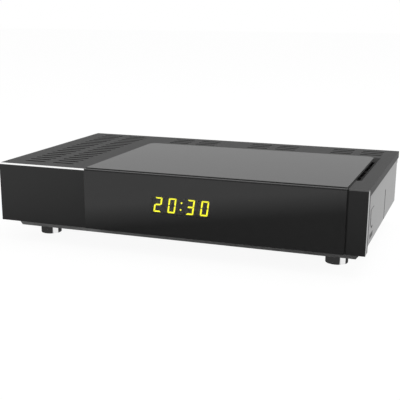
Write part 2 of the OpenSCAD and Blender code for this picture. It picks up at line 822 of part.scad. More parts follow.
// The two sockets of the ribbon cable, on the front board and on the main board.
module ribbon_headers() {
    y0 = front_board_y + board_t;
    color("#e9e6dc") placed() {
        socket_block(ribbon_x, display_z, header_w, header_h, y0, y0 + header_d);
        block([ribbon_x - header_w / 2, main_header_y, parts_z],
              [ribbon_x + header_w / 2, main_header_y + header_h, parts_z + header_d]);
    }
}

// The ribbon cable between the two sockets: its middle line as a curve in Y and Z.
ribbon_reach = 34;
ribbon_rise = 22;
function ribbon_start() = [front_board_y + board_t + header_d, display_z];
function ribbon_end() = [main_header_y + header_h / 2, parts_z + header_d];
function ribbon_point(t) =
    let (a = ribbon_start(), d = ribbon_end(), b = a + [ribbon_reach, 0], c = d + [0, ribbon_rise])
    (1 - t) ^ 3 * a + 3 * (1 - t) ^ 2 * t * b + 3 * (1 - t) * t ^ 2 * c + t ^ 3 * d;
function ribbon_side(t) =
    let (w = ribbon_point(min(1, t + 0.01)) - ribbon_point(max(0, t - 0.01)))
    [-w[1], w[0]] / norm(w) * ribbon_t / 2;

module ribbon_cable() {
    steps = 20;
    upper = [for (i = [0 : steps]) ribbon_point(i / steps) + ribbon_side(i / steps)];
    lower = [for (i = [steps : -1 : 0]) ribbon_point(i / steps) - ribbon_side(i / steps)];
    color("#c9cacc") placed() along_x(ribbon_x - ribbon_w / 2, ribbon_x + ribbon_w / 2)
        polygon(concat(upper, lower));
}

// The main board on its standoffs.
module main_board() {
    color("#2f6b3c") placed() difference() {
        block([-board_w / 2, board_front, board_z], [board_w / 2, board_back, parts_z]);
        at_board_screws() translate([0, 0, board_z - cut])
            cylinder(r = screw_r + screw_gap, h = board_t + 2 * cut);
    }
}

module board_standoffs() {
    color("#b59a55") placed() at_board_screws() translate([0, 0, floor_z + sheet_t]) difference() {
        cylinder(r = standoff_r, h = standoff_h);
        translate([0, 0, 1]) cylinder(r = screw_r + screw_gap, h = standoff_h);
    }
}

module board_screws() {
    color("#b9bbbd") placed() at_board_screws() {
        translate([0, 0, board_z - standoff_h / 2]) cylinder(r = screw_r, h = standoff_h / 2 + board_t);
        translate([0, 0, parts_z]) cylinder(r = head_r, h = head_t);
    }
}

// The tuner's tinplate can with its raised lid.
module tuner_can() {
    y1 = panel_in - can_gap;
    color("#c4c6c8") placed() {
        block([tuner_x - can_w / 2, y1 - can_d, parts_z], [tuner_x + can_w / 2, y1, parts_z + tuner_h]);
        block([tuner_x - can_w / 2 + 1.5, y1 - can_d + 1.5, parts_z + tuner_h],
              [tuner_x + can_w / 2 - 1.5, y1 - 1.5, parts_z + tuner_h + tuner_inset]);
    }
}

// A threaded aerial connector: its foot in the rear wall and nut, a groove, and its free thread.
module aerial_connector(x) {
    nut_end = tray_back + f_nut_t;
    tip = nut_end + f_relief + f_l;
    difference() {
        union() {
            rod_y(x, f_z, f_r, panel_in - can_gap, nut_end);
            rod_y(x, f_z, f_relief_r, nut_end, nut_end + f_relief);
            rod_y(x, f_z, f_r, nut_end + f_relief, tip);
        }
        rod_y(x, f_z, f_bore_r, nut_end, tip + cut);
    }
}

module lnb_input_connector() {
    color("#c9b37a") placed() aerial_connector(f_places()[0]);
}

module lnb_loop_connector() {
    color("#c9b37a") placed() aerial_connector(f_places()[1]);
}

// The hexagon nuts that hold the rear wall to the aerial connectors.
module connector_nuts() {
    color("#cfd0d2") placed() for (x = f_places()) difference() {
        translate([x, tray_back + f_nut_t, f_z]) rotate([90, 0, 0])
            cylinder(d = f_nut_af / cos(30), h = f_nut_t, $fn = 6);
        rod_y(x, f_z, f_r + screw_gap, tray_back - cut, tray_back + f_nut_t + cut);
    }
}

// The white insulators in the aerial connectors, each with the hole for the cable's core.
module connector_insulators() {
    nut_end = tray_back + f_nut_t;
    tip = nut_end + f_relief + f_l;
    color("#f2f2ee") placed() for (x = f_places()) difference() {
        rod_y(x, f_z, f_bore_r - screw_gap, nut_end, tip - f_recess);
        rod_y(x, f_z, f_pin_hole_r, nut_end + 2, tip);
    }
}

// The outline of the video socket's tongue: a box with one slanted end.
module scart_outline(w, h) {
    slant = h / 2;
    polygon([
        [-w / 2, -h / 2], [w / 2 - slant, -h / 2], [w / 2, 0], [w / 2, h / 2], [-w / 2, h / 2]
    ]);
}

// The video socket: a groove for the plug's screen round a block with two rows of contact slots.
module scart_socket() {
    y1 = tray_back + scart_proud;
    rows = 10;
    pitch = 3.81;
    row_rise = 2.3;
    slot = [1.1, 2.6, 8];
    groove = [47, 13.4, 11];
    tongue = [43.4, 9.8];
    tongue_drop = 0.4;
    color("#1d1d1f") placed() difference() {
        socket_block(scart_x, scart_z, scart_w, scart_h, y1 - scart_d, y1);
        translate([scart_x, 0, scart_z]) difference() {
            along_y(y1 - groove[2], y1 + cut) scart_outline(groove[0], groove[1]);
            along_y(y1 - groove[2] - cut, y1 - tongue_drop) scart_outline(tongue[0], tongue[1]);
        }
        for (i = [0 : rows - 1], row = [-1, 1])
            socket_block(scart_x + (i - (rows - 1) / 2) * pitch - 1, scart_z + row * row_rise,
                         slot[0], slot[1], y1 - slot[2], y1 + cut);
    }
}

// A thin-walled metal shell round the mouth of a flat socket.
module flat_shell(x, z, w, h, d, wall) {
    y1 = tray_back + shell_proud;
    difference() {
        socket_block(x, z, w, h, y1 - d, y1);
        socket_block(x, z, w - 2 * wall, h - 2 * wall, y1 - d + 2 * wall, y1 + cut);
    }
    for (side = [-1, 1])
        block([x + side * (w / 2 - 1) - 0.6, y1 - d + 2, parts_z],
              [x + side * (w / 2 - 1) + 0.6, y1 - d + 6, z - h / 2]);
}

module hdmi_shell() {
    color("#c7c9cb") placed() flat_shell(hdmi_x, hdmi_z, hdmi_w, hdmi_h, hdmi_d, hdmi_wall);
}

module hdmi_tongue() {
    y1 = tray_back + shell_proud;
    color("#1b1b1d") placed() {
        socket_block(hdmi_x, hdmi_z, hdmi_w - 2 * hdmi_wall, hdmi_h - 2 * hdmi_wall,
                     y1 - hdmi_d + 2 * hdmi_wall, y1 - hdmi_d + 4);
        socket_block(hdmi_x, hdmi_z, hdmi_w - 4, 1.6, y1 - hdmi_d + 4, y1 - 1.2);
    }
}

module usb_shell() {
    color("#c7c9cb") placed() flat_shell(usb_x, usb_z, usb_w, usb_h, usb_d, usb_wall);
}

module usb_tongue() {
    y1 = tray_back + shell_proud;
    color("#f0f0ec") placed() {
        socket_block(usb_x, usb_z, usb_w - 2 * usb_wall, usb_h - 2 * usb_wall,
                     y1 - usb_d + 2 * usb_wall, y1 - usb_d + 4);
        socket_block(usb_x, usb_z + 0.9, usb_w - 2, 1.8, y1 - usb_d + 4, y1 - 1.2);
    }
}

// The digital sound socket: an orange block whose collar fills the rear wall's hole.
module coax_audio_body() {
    y1 = panel_in - can_gap;
    collar = tray_back + coax_collar_l;
    tip = collar + coax_l;
    color("#d9661f") placed() difference() {
        union() {
            socket_block(coax_x, coax_z, coax_block[0], coax_block[2], y1 - coax_block[1], y1);
            rod_y(coax_x, coax_z, coax_collar_r, y1, collar);
            rod_y(coax_x, coax_z, coax_r - coax_shell_t - screw_gap, collar, tip - 0.6);
        }
        rod_y(coax_x, coax_z, coax_hole_r, collar - 2, tip + cut);
    }
}

// The nickel shell of the digital sound socket.
module coax_audio_shell() {
    collar = tray_back + coax_collar_l;
    color("#cfd0d2") placed() difference() {
        rod_y(coax_x, coax_z, coax_r, collar, collar + coax_l);
        rod_y(coax_x, coax_z, coax_r - coax_shell_t, collar - cut, collar + coax_l + cut);
    }
}

// The 3.5 mm socket for a second remote control sensor.
module ir_extender_jack() {
    y1 = panel_in - can_gap;
    tip = y1 + jack_nose_l;
    color("#222224") placed() difference() {
        union() {
            socket_block(jack_x, jack_z, jack_block[0], jack_block[2], y1 - jack_block[1] - 2, y1);
            rod_y(jack_x, jack_z, jack_nose_r, y1, tip);
        }
        rod_y(jack_x, jack_z, jack_r, tip - jack_bore_l, tip + cut);
    }
}

// The low-voltage power inlet with its round hole.
module power_inlet() {
    y1 = tray_back + shell_proud;
    color("#202022") placed() difference() {
        socket_block(power_x, power_z, power_block[0], power_block[2], y1 - power_block[1], y1);
        rod_y(power_x, power_z, power_r, y1 - power_bore_l, y1 + cut);
    }
}

module power_inlet_pin() {
    y1 = tray_back + shell_proud;
    color("#cfd0d2") placed()
        rod_y(power_x, power_z, power_pin_r, y1 - power_bore_l, y1 - 0.8);
}

// The switch's housing: a box through the rear wall, a flange outside it and the rocker's well.
module switch_housing() {
    y1 = tray_back + switch_flange_t;
    f = 2 * switch_flange;
    color("#1f1f21") placed() difference() {
        union() {
            socket_block(switch_x, switch_z, switch_l, switch_h, y1 - switch_d, tray_back);
            socket_block(switch_x, switch_z, switch_l + f, switch_h + f, tray_back, y1);
            for (side = [-1, 1])
                block([switch_x + side * 5 - 0.5, y1 - switch_d + 2, parts_z],
                      [switch_x + side * 5 + 0.5, y1 - switch_d + 6, switch_z]);
        }
        socket_block(switch_x, switch_z, well_l, well_h, y1 - switch_well_d, y1 + cut);
        translate([switch_x, pivot_y, switch_z - well_h / 2 - pivot_l])
            cylinder(r = pivot_r + pivot_gap, h = well_h + 2 * pivot_l);
    }
}

// The rocker: a round-backed bar with two sloped faces and a pivot pin at each side, tilted to on.
module switch_rocker() {
    r = rocker_l / 2;
    rise = r * tan(rocker_tilt);
    half_pivot = rocker_h / 2 + rocker_gap + pivot_l - fit_gap;
    color("#2a2a2c") placed() translate([switch_x, pivot_y, switch_z])
        rotate([0, 0, rocker_tilt]) {
            translate([0, 0, -rocker_h / 2]) linear_extrude(rocker_h) intersection() {
                circle(r = r, $fn = 96);
                polygon([
                    [-r, -rocker_back], [r, -rocker_back], [r, rocker_v + rise],
                    [0, rocker_v], [-r, rocker_v + rise]
                ]);
            }
            translate([0, 0, -half_pivot]) cylinder(r = pivot_r, h = 2 * half_pivot);
        }
}

// A flat chip on the main board, from its middle.
module chip(x, y, w, d, h) {
    translate([x - w / 2, y - d / 2, parts_z]) cube([w, d, h]);
}

coil_r = 5.5;
coil_h = 6.5;
coil_flange = 1;
chip_x = 12;
chip_inset = 34;
chip_y = board_front + chip_inset;
chip_size = 27;
chip_h = 1.8;
memory_w = 10;
memory_d = 13;
memory_h = 1.1;

module processor() {
    color("#1a1a1c") placed() chip(chip_x, chip_y, chip_size, chip_size, chip_h);
}

// The finned heat sink on the processor.
module heat_sink() {
    w = 30;
    base = 2.4;
    fin = 1.2;
    fins = 8;
    h = 12;
    color("#8c8f93") placed() translate([chip_x - w / 2, chip_y - w / 2, parts_z + chip_h]) {
        cube([w, w, base]);
        for (i = [0 : fins - 1])
            translate([i * (w - fin) / (fins - 1), 0, base]) cube([fin, w, h - base]);
    }
}

module memory_chips() {
    color("#1a1a1c") placed() {
        for (i = [-1, 1])
            chip(chip_x - 1.2 * chip_size, chip_y + i * chip_size / 3, memory_w, memory_d, memory_h);
        chip(chip_x + 1.2 * chip_size, chip_y, memory_w, 1.5 * memory_d, memory_h);
    }
}

// Electrolytic capacitors: place as shares of the main board's width and depth, radius and height.
module capacitors() {
    cans = [
        [-0.43, 0.49, 5, 12.5], [-0.375, 0.49, 5, 12.5], [-0.32, 0.49, 4, 11.5],
        [-0.43, 0.33, 4, 11.5], [-0.27, 0.58, 3.15, 11], [-0.22, 0.22, 3.15, 11],
        [0.25, 0.24, 4, 11.5], [0.2, 0.13, 3.15, 11]
    ];
    color("#23304f") placed() for (c = cans)
        translate([c[0] * board_w, board_front + c[1] * board_d, parts_z])
            cylinder(r = c[2], h = c[3]);
}

// Wound coils of the power supply: two flanges with the winding between them.
module coils() {
    color("#3c3a38") placed() for (share = [-0.366, -0.295])
        translate([share * board_w, board_front + 0.24 * board_d, parts_z]) {
            cylinder(r = coil_r, h = coil_flange);
            cylinder(r = coil_r - 1.5, h = coil_h);
            translate([0, 0, coil_h - coil_flange]) cylinder(r = coil_r, h = coil_flange);
        }
}

// The screws through the cover's rear flange.
module cover_screws() {
    color("#b9bbbd") placed() at_cover_screws() {
        rod_y(0, 0, screw_r, case_d - cover_screw_l, case_d);
        rod_y(0, 0, head_r, case_d, case_d + head_t);
    }
}

// The bright shells of the feet: a cup with a seat for its pad and a web for its screw.
module foot_shells() {
    color("#d5d6d8") placed() at_feet() difference() {
        translate([0, 0, pad_proud]) cylinder(d = foot_d, h = foot_h - pad_proud);
        translate([0, 0, -cut]) cylinder(r = foot_seat_r, h = pad_t + cut);
        cylinder(r = foot_seat_r - foot_wall, h = foot_h - foot_web_t);
        translate([0, 0, foot_h - foot_web_t - cut])
            cylinder(r = foot_screw_r + screw_gap, h = foot_web_t + 2 * cut);
    }
}

module foot_pads() {
    color("#161616") placed() at_feet() cylinder(r = foot_seat_r - screw_gap, h = pad_t);
}

module foot_screws() {
    tip = 2.4;                             // length past the floor of the tray
    color("#b9bbbd") placed() at_feet() translate([0, 0, foot_h - foot_web_t]) {
        translate([0, 0, -head_t]) cylinder(r = head_r, h = head_t);
        cylinder(r = foot_screw_r, h = foot_web_t + sheet_t + tip);
    }
}

chassis_tray();
top_cover();
front_bezel();
trim_strip();
front_window();
top_plate();
display_module();
display_digits();
front_board();
front_board_screws();
ir_receiver();
ribbon_headers();
ribbon_cable();
main_board();
board_standoffs();
board_screws();
tuner_can();
lnb_input_connector();
lnb_loop_connector();
connector_nuts();
connector_insulators();
scart_socket();
hdmi_shell();
hdmi_tongue();
coax_audio_body();
coax_audio_shell();
usb_shell();
usb_tongue();
ir_extender_jack();
power_inlet();
power_inlet_pin();
switch_housing();
switch_rocker();
processor();
heat_sink();
memory_chips();
capacitors();
coils();
cover_screws();
foot_shells();
foot_pads();
foot_screws();
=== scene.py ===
# A satellite television receiver on a pale floor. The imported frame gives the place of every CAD
# piece in metres, with X to the right, Y to the back and Z up. The sections follow the receiver
# as it is put together, from the tray up to the cover and then its feet. The studio comes last.

import json
import math
import random

import bmesh
import bpy
from mathutils import Matrix, Vector


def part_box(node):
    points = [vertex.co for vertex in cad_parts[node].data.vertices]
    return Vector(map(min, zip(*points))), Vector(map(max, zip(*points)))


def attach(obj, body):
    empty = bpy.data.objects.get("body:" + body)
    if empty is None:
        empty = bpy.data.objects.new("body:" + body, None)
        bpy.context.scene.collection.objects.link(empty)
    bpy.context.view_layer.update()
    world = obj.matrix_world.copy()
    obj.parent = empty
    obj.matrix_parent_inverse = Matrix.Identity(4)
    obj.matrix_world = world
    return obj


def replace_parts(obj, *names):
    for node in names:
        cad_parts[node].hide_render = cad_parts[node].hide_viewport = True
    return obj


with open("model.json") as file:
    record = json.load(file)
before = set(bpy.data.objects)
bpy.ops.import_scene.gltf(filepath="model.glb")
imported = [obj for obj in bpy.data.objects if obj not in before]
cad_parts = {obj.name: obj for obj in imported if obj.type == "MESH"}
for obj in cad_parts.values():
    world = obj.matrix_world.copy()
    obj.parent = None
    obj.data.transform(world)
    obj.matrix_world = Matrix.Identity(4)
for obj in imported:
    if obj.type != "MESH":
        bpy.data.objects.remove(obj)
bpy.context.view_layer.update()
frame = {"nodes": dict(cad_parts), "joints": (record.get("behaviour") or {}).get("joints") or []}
MM = 0.001

# ---- Tray ----
# Floor, sides and rear wall are one folded sheet of zinc-coated steel. The zinc shows a faint
# spangle and rolling lines. Folds and edges are slightly round, and painted shade darkens the cuts
# in the sides.


class Field:
    """A socket in a material's nodes. Its operators add Math nodes, and node() adds any other."""

    def __init__(self, tree, socket=None):
        self.tree = tree
        self.socket = socket

    def node(self, kind, settings={}, values={}, output=0):
        """Adds a node of any kind: its settings first, then its values or links."""
        made = self.tree.nodes.new(kind)
        for name, setting in settings.items():
            setattr(made, name, setting)
        for name, value in values.items():
            if isinstance(value, Field):
                self.tree.links.new(value.socket, made.inputs[name])
            else:
                made.inputs[name].default_value = value
        return Field(self.tree, made.outputs[output] if made.outputs else None)

    def maths(self, operation, *values):
        return self.node("ShaderNodeMath", {"operation": operation}, dict(enumerate(values)))

    def __add__(self, other):
        return self.maths("ADD", self, other)

    def __sub__(self, other):
        return self.maths("SUBTRACT", self, other)

    def __rsub__(self, other):
        return self.maths("SUBTRACT", other, self)

    def __mul__(self, other):
        return self.maths("MULTIPLY", self, other)

    def __truediv__(self, other):
        return self.maths("DIVIDE", self, other)

    __radd__ = __add__
    __rmul__ = __mul__

    def size(self):
        """The value without its sign."""
        return self.maths("ABSOLUTE", self)

    def over(self, level):
        """1 where the value is over a level, and 0 elsewhere."""
        return self.maths("GREATER_THAN", self, level)

    def kept(self):
        """Held between 0 and 1."""
        return self.node("ShaderNodeClamp", {}, {"Value": self})

    def tint(self, low, high):
        """A colour that goes from low, at 0, to high, at 1."""
        return self.node("ShaderNodeMix", {"data_type": "RGBA"}, {0: self, 6: low, 7: high}, 2)

    def stretched(self, x, y, z):
        """A place with each axis scaled, for streaks."""
        return self.node("ShaderNodeMapping", {}, {"Vector": self, "Scale": (x, y, z)})

    def noise(self, scale, detail=2.0):
        """Soft clouds, about as many to the metre as scale says."""
        return self.node("ShaderNodeTexNoise", {}, {"Vector": self, "Scale": scale, "Detail": detail})

    def cells(self, size, output):
        """Uneven cells of this size: the Color of each, or the Distance to its middle."""
        return self.node("ShaderNodeTexVoronoi", {}, {"Vector": self, "Scale": 1 / size}, output)

    def ridges(self, direction, size):
        """Round ridges that follow each other along an axis, 0.314 times size apart."""
        bands = {"bands_direction": direction}
        return self.node("ShaderNodeTexWave", bands, {"Vector": self, "Scale": 1 / size}, "Fac")

    def axes(self):
        """The X, Y and Z of a place as three fields."""
        split = self.node("ShaderNodeSeparateXYZ", {}, {0: self}).socket.node
        return [Field(self.tree, output) for output in split.outputs]

    def facing(self):
        """The X, Y and Z of the way that the surface faces."""
        return self.node("ShaderNodeNewGeometry", {}, {}, "Normal").axes()

    def relief(self, depth):
        """The normal of a surface with this height, whose whole range is depth in metres."""
        return self.node("ShaderNodeBump", {}, {"Height": self, "Distance": depth})

    def finish(self, values):
        """Ends the material with one Principled shader."""
        surface = self.node("ShaderNodeBsdfPrincipled", {}, values)
        self.node("ShaderNodeOutputMaterial", {}, {"Surface": surface})


def new_finish(name):
    """A material with empty nodes, and the place on the piece that its patterns start from."""
    material = bpy.data.materials.new(name)
    material.use_nodes = True
    material.node_tree.nodes.clear()
    place = Field(material.node_tree).node("ShaderNodeTexCoord", output="Object")
    return material, place


def ink(red, green, blue):
    """A colour by its values on screen, from 0 to 255, as the linear ones that shaders take."""
    linear = [((v / 255 + 0.055) / 1.055) ** 2.4 if v > 10 else v / 3295 for v in (red, green, blue)]
    return (*linear, 1)


def grey(value):
    """A grey by its value on screen."""
    return ink(value, value, value)


def dress(material, *nodes):
    """Gives CAD nodes their finish."""
    for node in nodes:
        mesh = frame["nodes"][node].data
        mesh.materials.clear()
        mesh.materials.append(material)


same_corner = 0.001 * MM
same_plane = math.radians(0.5)
sharp_edge = math.radians(35)


def soften(width, *nodes):
    """Rounds the edges of CAD nodes with modifiers, which leave their meshes as they are."""
    for node in nodes:
        modifiers = frame["nodes"][node].modifiers
        weld = modifiers.new("joined_corners", "WELD")
        weld.merge_threshold = same_corner
        flat = modifiers.new("whole_faces", "DECIMATE")
        flat.decimate_type = "DISSOLVE"
        flat.angle_limit = same_plane
        edge = modifiers.new("round_edge", "BEVEL")
        edge.width = width
        edge.segments = 2
        edge.limit_method = "ANGLE"
        edge.angle_limit = sharp_edge
        modifiers.new("even_light", "WEIGHTED_NORMAL")


spangle_size = 5 * MM
rolling_line = 0.4 * MM
rolling_reach = 12
sheet_gauge = 1 * MM
front_end, rear_end, floor_fold = 4 * MM, 2 * MM, 4 * MM
tray_low, tray_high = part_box("chassis_tray")

# The edges of the cuts lie within the sides' thickness, away from the ends of the sheet. They are
# painted dark, as painted shade.
zinc, place = new_finish("zinc_sheet")
facing = place.facing()
x, y, z = place.axes()
in_side = (x.size() - tray_high.x + sheet_gauge).over(0) * (1 - facing[0].size().over(0.5))
in_middle = (y - tray_low.y - front_end).over(0) * (tray_high.y - rear_end - y).over(0)
painted_shade_in_cuts = in_side * in_middle * (z - tray_low.z - floor_fold).over(0)
spangle = place.cells(spangle_size, "Color")
rolled = place.stretched(1 / rolling_line, rolling_reach, 1 / rolling_line).noise(1.0)
stain = place.noise(22, 5.0)
tone = spangle.axes()[0] * 0.3 + rolled * 0.3 + stain * 0.4
place.finish({
    "Base Color": painted_shade_in_cuts.tint(tone.tint(grey(128), grey(160)), grey(48)),
    "Metallic": 1.0,
    "Roughness": 0.36 + tone * 0.16 + painted_shade_in_cuts * 0.3,
    "Normal": (rolled + stain).relief(0.006 * MM),
})
dress(zinc, "chassis_tray")
soften(0.2 * MM, "chassis_tray")

# ---- Main board ----
# A glass laminate board under green solder mask stands on turned brass posts over the tray's
# floor. It carries the processor under an aluminium heat sink, memory, supply and small parts.

trace_pitch = 7 * MM
pad_pitch = 5 * MM
pad_share = 0.16

mask, place = new_finish("solder_mask")
traces = place.node("ShaderNodeTexBrick", {"offset": 0.35}, {
    "Vector": place, "Scale": 1 / trace_pitch, "Mortar Size": 0.06, "Brick Width": 1.3,
    "Row Height": 0.35,
}, "Fac")
pad = 1 - place.cells(pad_pitch, "Distance").over(pad_share)
weave = place.stretched(1, 1, 0).noise(1800)
laminate = (traces * 0.8 + weave * 0.2).tint(ink(20, 66, 36), ink(46, 104, 58))
place.finish({
    "Base Color": pad.tint(laminate, ink(190, 188, 178)),
    "Metallic": pad * 0.8,
    "Roughness": 0.34 + weave * 0.1,
    "Normal": (traces + pad).relief(0.03 * MM),
})
dress(mask, "main_board", "front_board")

brass, place = new_finish("turned_brass")
turning = place.stretched(200, 200, 6000).noise(1.0)
place.finish({
    "Base Color": turning.tint(ink(186, 150, 82), ink(222, 190, 118)),
    "Metallic": 1.0,
    "Roughness": 0.22 + turning * 0.16,
    "Normal": turning.relief(0.01 * MM),
})
dress(brass, "board_standoffs")

screw_zinc, place = new_finish("bright_zinc")
blush = place.noise(700, 3.0)
place.finish({
    "Base Color": blush.tint(ink(176, 178, 184), ink(206, 206, 200)),
    "Metallic": 1.0,
    "Roughness": 0.18 + blush * 0.16,
})
dress(screw_zinc, "board_screws", "front_board_screws", "foot_screws", "cover_screws")

resin, place = new_finish("moulded_resin")
grain = place.noise(4200)
place.finish({
    "Base Color": grain.tint(grey(30), grey(44)),
    "Roughness": 0.5 + grain * 0.16,
    "Normal": grain.relief(0.012 * MM),
})
dress(resin, "processor", "memory_chips")

anodised, place = new_finish("anodised_fins")
drawn = place.stretched(4000, 60, 4000).noise(1.0)
place.finish({
    "Base Color": drawn.tint(grey(120), grey(150)),
    "Metallic": 1.0,
    "Roughness": 0.36 + drawn * 0.14,
    "Normal": drawn.relief(0.01 * MM),
})
dress(anodised, "heat_sink")

# A capacitor's lid is bare, and a pale stripe runs down the left of its sleeve.
sleeve, place = new_finish("capacitor_sleeve")
facing = place.facing()
lid = facing[2].over(0.7)
stripe = (0 - facing[0]).over(0.8)
gloss = place.noise(900)
place.finish({
    "Base Color": lid.tint(stripe.tint(ink(28, 36, 62), ink(176, 180, 190)), ink(196, 198, 200)),
    "Metallic": lid * 0.9,
    "Roughness": 0.22 + gloss * 0.12,
})
dress(sleeve, "capacitors")
soften(0.3 * MM, "capacitors")

board_low, board_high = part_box("main_board")
coil_low, coil_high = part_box("coils")
coil_flange = 1 * MM
flange_skin = 0.05 * MM
winding_size = 1.2 * MM

wound, place = new_finish("wound_copper")
height = place.axes()[2]
middle = (coil_low.z + coil_high.z) / 2
half_winding = (coil_high.z - coil_low.z) / 2 - coil_flange - flange_skin
winding = 1 - (height - middle).size().over(half_winding)
wire = place.ridges("Z", winding_size)
place.finish({
    "Base Color": winding.tint(grey(52), ink(176, 96, 52)),
    "Metallic": winding * 0.9,
    "Roughness": 0.62 - winding * 0.34,
    "Normal": (wire * winding).relief(0.1 * MM),
})
dress(wound, "coils")


def prism(work, face, along):
    """Adds a solid to a bmesh: the corners of a face, pushed along a vector."""
    low = [work.verts.new(corner) for corner in face]
    high = [work.verts.new(Vector(corner) + Vector(along)) for corner in face]
    work.faces.new(low)
    work.faces.new(high[::-1])
    for i, corner in enumerate(low):
        after = (i + 1) % len(low)
        work.faces.new([corner, high[i], high[after], low[after]])


def brick(work, low, high):
    """Adds a box between two corners to a bmesh."""
    face = [(low[0], low[1], low[2]), (high[0], low[1], low[2]), (high[0], high[1], low[2]),
            (low[0], high[1], low[2])]
    prism(work, face, (0, 0, high[2] - low[2]))


def piece(name, work, material, body="receiver", edge=0.0):
    """Turns a bmesh into a piece that rides on a body, with round edges if edge is over 0."""
    bmesh.ops.recalc_face_normals(work, faces=work.faces)
    mesh = bpy.data.meshes.new(name)
    work.to_mesh(mesh)
    work.free()
    mesh.materials.append(material)
    made = bpy.data.objects.new(name, mesh)
    bpy.context.collection.objects.link(made)
    if edge:
        rounded = made.modifiers.new("round_edge", "BEVEL")
        rounded.width = edge
        rounded.segments = 2
        rounded.limit_method = "ANGLE"
    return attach(made, body)


tin_end, place = new_finish("tinned_ends")
place.finish({
    "Base Color": place.noise(2500).tint(grey(178), grey(208)),
    "Metallic": 1.0,
    "Roughness": 0.24 + place.noise(1800) * 0.2,
})

ceramic, place = new_finish("tan_ceramic")
place.finish({
    "Base Color": place.noise(900).tint(ink(118, 92, 66), ink(156, 128, 96)),
    "Roughness": 0.46 + place.noise(3000) * 0.2,
})

# The small parts sit in rows on the board's free corner in front of the tuner.
area_x = (64 * MM, 100 * MM)
area_y = (board_low.y + 6 * MM, board_low.y + 36 * MM)
small_size = Vector((1.6, 0.8, 0.6)) * MM
end_length = 0.3 * MM
tin = 0.03 * MM
rows = 7
ragged_start = 3
spacings = (2.4 * MM, 3.1 * MM, 4.6 * MM)
chance = random.Random(7)

bodies, ends = bmesh.new(), bmesh.new()
for row in range(rows):
    y = area_y[0] + (area_y[1] - area_y[0]) * row / (rows - 1)
    x = area_x[0] + chance.uniform(0, ragged_start) * MM
    while x < area_x[1]:
        far_x, far_y, top = x + small_size.x, y + small_size.y, board_high.z + small_size.z
        brick(bodies, (x + end_length, y, board_high.z), (far_x - end_length, far_y, top))
        for start in (x, far_x - end_length):
            brick(ends, (start, y - tin, board_high.z), (start + end_length, far_y + tin, top + tin))
        x += chance.choice(spacings)
piece("chip_capacitors", bodies, ceramic)
piece("chip_capacitor_ends", ends, tin_end)

# Two small circuits with bent legs stand beside the processor. A leg's side view gives how far
# out of the case and how high over the board its corners are, in millimetres.
logic_size = Vector((5, 4, 1.5)) * MM
logic_places = (-44 * MM, -58 * MM)
logic_y = board_low.y + 34 * MM
logic_gap = 0.15 * MM
logic_legs = 7
leg_width = 0.3 * MM
leg_side = [(0, 0.75), (0.45, 0.75), (0.6, 0.2), (1.1, 0.2), (1.1, 0.02), (0.45, 0.02), (0.3, 0.55),
            (0, 0.55)]
cases, legs = bmesh.new(), bmesh.new()
for x in logic_places:
    low = Vector((x, logic_y, board_high.z + logic_gap))
    brick(cases, low, low + logic_size)
    for leg in range(logic_legs):
        left = x + (leg + 0.5) * logic_size.x / logic_legs - leg_width / 2
        for side, out in ((logic_y, -1), (logic_y + logic_size.y, 1)):
            face = [(left, side + out * u * MM, board_high.z + v * MM) for u, v in leg_side]
            prism(legs, face, (leg_width, 0, 0))
piece("logic_chips", cases, resin, edge=0.15 * MM)
piece("logic_chip_legs", legs, tin_end)

# ---- Tuner and aerial connectors ----
# The tuner is a tinplate can soldered to the board. Its two turned brass connectors pass the
# rear wall under hexagon nuts, with a rolled thread, a bore and a nylon insulator inside.

tinplate, place = new_finish("tinplate")
smear = place.stretched(60, 500, 60).noise(1.0, 4.0)
place.finish({
    "Base Color": smear.tint(grey(168), grey(205)),
    "Metallic": 1.0,
    "Roughness": 0.2 + smear * 0.2,
    "Normal": smear.relief(0.02 * MM),
})
dress(tinplate, "tuner_can")
soften(0.4 * MM, "tuner_can")

nickel, place = new_finish("nickel_plate")
film = place.noise(260, 3.0)
place.finish({
    "Base Color": film.tint(ink(186, 182, 172), ink(216, 212, 202)),
    "Metallic": 1.0,
    "Roughness": 0.16 + film * 0.14,
})
dress(nickel, "connector_nuts", "coax_audio_shell", "hdmi_shell", "usb_shell", "power_inlet_pin")
soften(0.3 * MM, "connector_nuts")
soften(0.12 * MM, "coax_audio_shell", "power_inlet_pin")
soften(0.1 * MM, "hdmi_shell", "usb_shell")

nylon, place = new_finish("white_nylon")
milky = place.noise(600)
place.finish({
    "Base Color": milky.tint(ink(222, 218, 206), ink(240, 238, 230)),
    "Roughness": 0.38 + milky * 0.12,
    "Coat Weight": 0.1,
})
dress(nylon, "connector_insulators", "usb_tongue", "ribbon_headers")
soften(0.15 * MM, "connector_insulators")

thread_pitch = 0.794 * MM
thread_depth = 0.45 * MM
rows_a_pitch = 6
columns = 48
lead_length = 0.6 * MM
lead_depth = 0.35 * MM
bore_radius = 3.4 * MM
bore_depth = 8.6 * MM
flare_width = 0.2 * MM
flare_depth = 0.3 * MM
groove_width = 0.6 * MM
groove_depth = 0.4 * MM


def round_point(centre, radius, angle, y):
    """The point at an angle on a circle round a Y axis through centre."""
    return (centre.x + radius * math.sin(angle), y, centre.z + radius * math.cos(angle))


def skin(work, rings):
    """Joins a row of rings of corners, and closes the first and the last ring."""
    for before, after in zip(rings, rings[1:]):
        for i, corner in enumerate(before):
            j = (i + 1) % len(before)
            work.faces.new([corner, before[j], after[j], after[i]])
    work.faces.new(rings[0])
    work.faces.new(rings[-1])


